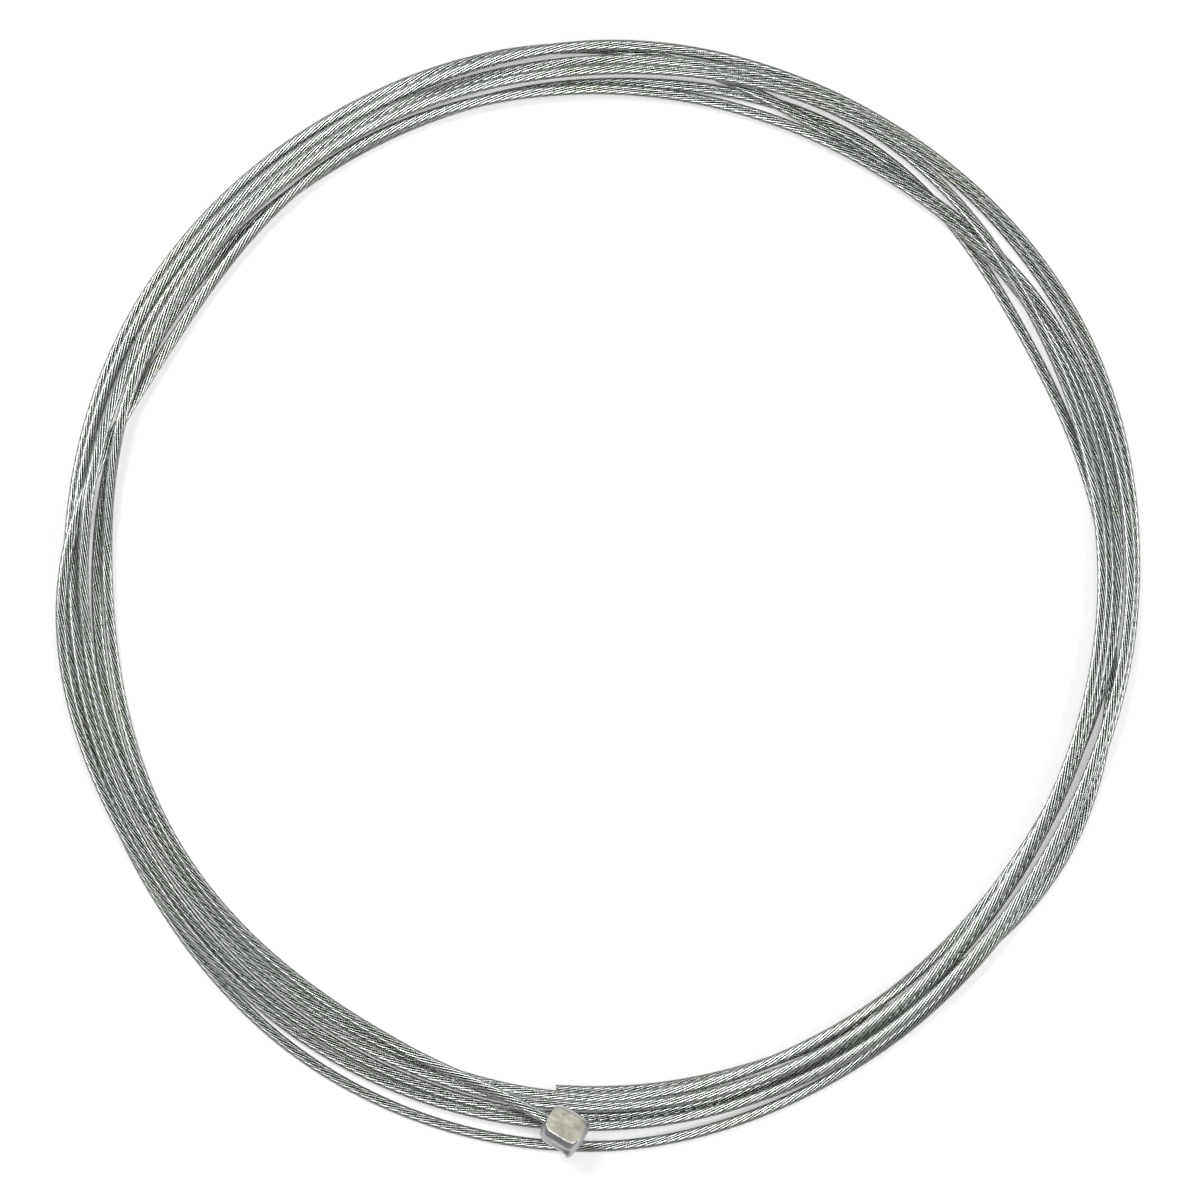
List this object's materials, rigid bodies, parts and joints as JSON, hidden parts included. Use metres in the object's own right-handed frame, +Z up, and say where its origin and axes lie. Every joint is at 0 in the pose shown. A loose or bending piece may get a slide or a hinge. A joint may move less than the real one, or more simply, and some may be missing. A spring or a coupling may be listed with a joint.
{
  "type": "bicycle shift cable",
  "caption": "Coiled steel wire strand with a small cast cylindrical head on one end, for pulling a bicycle gear mechanism.",
  "frame": {"origin": "on the surface the coil lies on, below the middle of the coil", "axes": "+Z up out of the flat coil; +Y towards the top of the picture, the head lies towards -Y"},
  "size_m": [0.1157, 0.1191, 0.008],
  "materials": {
    "galvanised_wire": "bright zinc plated, twisted wires",
    "cast_zinc": "as cast, satin, with a rough trimmed gate"
  },
  "bodies": {
    "root": {"wire_rope": "galvanised_wire", "cable_head": "cast_zinc"}
  },
  "joints": []
}
